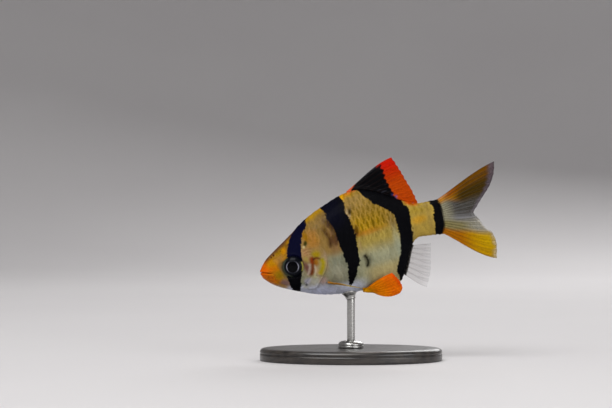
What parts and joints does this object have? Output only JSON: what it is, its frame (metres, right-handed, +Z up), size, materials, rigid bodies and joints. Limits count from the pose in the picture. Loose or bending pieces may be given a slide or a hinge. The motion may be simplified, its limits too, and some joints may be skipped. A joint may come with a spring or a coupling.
{
  "type": "tiger barb display model",
  "caption": "Life-size still model of a deep-bodied striped aquarium fish, swimming nose down, on a small oval stand with a short rod.",
  "frame": {"origin": "on the underside of the stand, at the middle of the model's length and width", "axes": "+X from the snout to the tail, +Z up, so the fish's left side faces -Y"},
  "size_m": [0.0598, 0.03, 0.0513],
  "materials": {
    "head_skin": "wet, finely scaled skin, orange on the snout",
    "body_skin": "wet, scaled skin, golden with four black bars",
    "gill_cover_skin": "smooth, silvery and yellow skin over bone",
    "eye": "clear, glossy, black with a thin silver ring",
    "dorsal_fin": "thin membrane on rays, black with a red margin",
    "tail_fin": "thin membrane on rays, orange to yellow, clear at the middle",
    "pelvic_fin": "thin membrane on rays, orange",
    "pectoral_fin": "thin, almost clear membrane on rays",
    "clear_fin": "thin, clear membrane on rays",
    "stand_wood": "black stained, satin lacquer",
    "stand_steel": "fine turned steel"
  },
  "bodies": {
    "root": {"head": "head_skin", "gill_cover_left": "gill_cover_skin", "gill_cover_right": "gill_cover_skin", "eye_left": "eye", "eye_right": "eye", "trunk": "body_skin", "tail_stalk": "body_skin", "dorsal_fin": "dorsal_fin", "anal_fin": "clear_fin", "caudal_lobe_upper": "tail_fin", "caudal_lobe_lower": "tail_fin", "pectoral_fin_left": "pectoral_fin", "pectoral_fin_right": "pectoral_fin", "pelvic_fin_left": "pelvic_fin", "pelvic_fin_right": "pelvic_fin", "stand_base": "stand_wood", "stand_collar": "stand_steel", "stand_rod": "stand_steel", "stand_cup": "stand_steel"}
  },
  "joints": []
}
